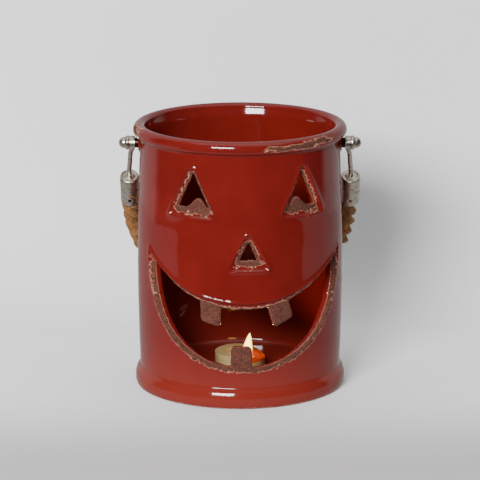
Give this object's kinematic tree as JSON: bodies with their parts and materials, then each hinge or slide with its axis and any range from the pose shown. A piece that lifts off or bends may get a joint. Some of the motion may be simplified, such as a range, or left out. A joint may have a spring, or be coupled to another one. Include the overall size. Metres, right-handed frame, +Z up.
{
  "type": "ceramic jack-o-lantern candle lantern with rope handle",
  "caption": "Cylindrical glazed ceramic lantern with a carved grinning face, a rope bail handle on knobbed studs and a removable battery tea light inside.",
  "frame": {"origin": "centre of the foot on the surface it stands on", "axes": "+Z up along the pot's axis, the carved face looks towards -Y, +X through the right-hand stud"},
  "size_m": [0.1818, 0.1702, 0.2],
  "materials": {
    "glazed_clay": "glossy oxblood glaze over brown stoneware, bare chipped clay at the cuts",
    "aged_nickel": "aged nickel, satin, darker in the corners",
    "dark_steel": "blackened steel",
    "screw_steel": "zinc plated",
    "jute_rope": "three-strand twisted jute",
    "ivory_plastic": "smooth ivory",
    "wax_plastic": "translucent imitation wax",
    "flame_plastic": "frosted, lit from inside",
    "led_resin": "clear amber resin",
    "board_green": "solder mask",
    "cell_steel": "plated steel can",
    "spring_brass": "stamped strip",
    "switch_black": "fine grain"
  },
  "bodies": {
    "pot": {"ceramic_pot": "glazed_clay", "left_stud": "screw_steel", "right_stud": "screw_steel", "left_inner_washer": "screw_steel", "right_inner_washer": "screw_steel", "left_spacer": "dark_steel", "right_spacer": "dark_steel", "left_knob": "aged_nickel", "right_knob": "aged_nickel"},
    "handle": {"left_hanger": "aged_nickel", "right_hanger": "aged_nickel", "left_ferrule": "aged_nickel", "right_ferrule": "aged_nickel", "left_rivet": "dark_steel", "right_rivet": "dark_steel", "rope": "jute_rope"},
    "tealight": {"tealight_cup": "ivory_plastic", "tealight_wax": "wax_plastic", "flame_lens": "flame_plastic", "led": "led_resin", "circuit_board": "board_green", "coin_cell": "cell_steel", "battery_contact": "spring_brass"},
    "battery_door": {"battery_door": "ivory_plastic"},
    "switch": {"switch_slider": "switch_black"}
  },
  "joints": [
    {"name": "handle_swing", "type": "hinge", "parent": "pot", "child": "handle", "pos_m": [0, 0, 0.184], "axis": [1, 0, 0], "range_deg": [0, 292]},
    {"name": "tealight_lift", "type": "slide", "parent": "pot", "child": "tealight", "axis": [0, 0, 1], "range_m": [0, 0.22]},
    {"name": "battery_door_twist", "type": "hinge", "parent": "tealight", "child": "battery_door", "pos_m": [-0.0045, 0, 0.01], "axis": [0, 0, 1], "range_deg": [0, 30]},
    {"name": "switch_slide", "type": "slide", "parent": "tealight", "child": "switch", "axis": [0, 1, 0], "range_m": [0, 0.003]}
  ]
}
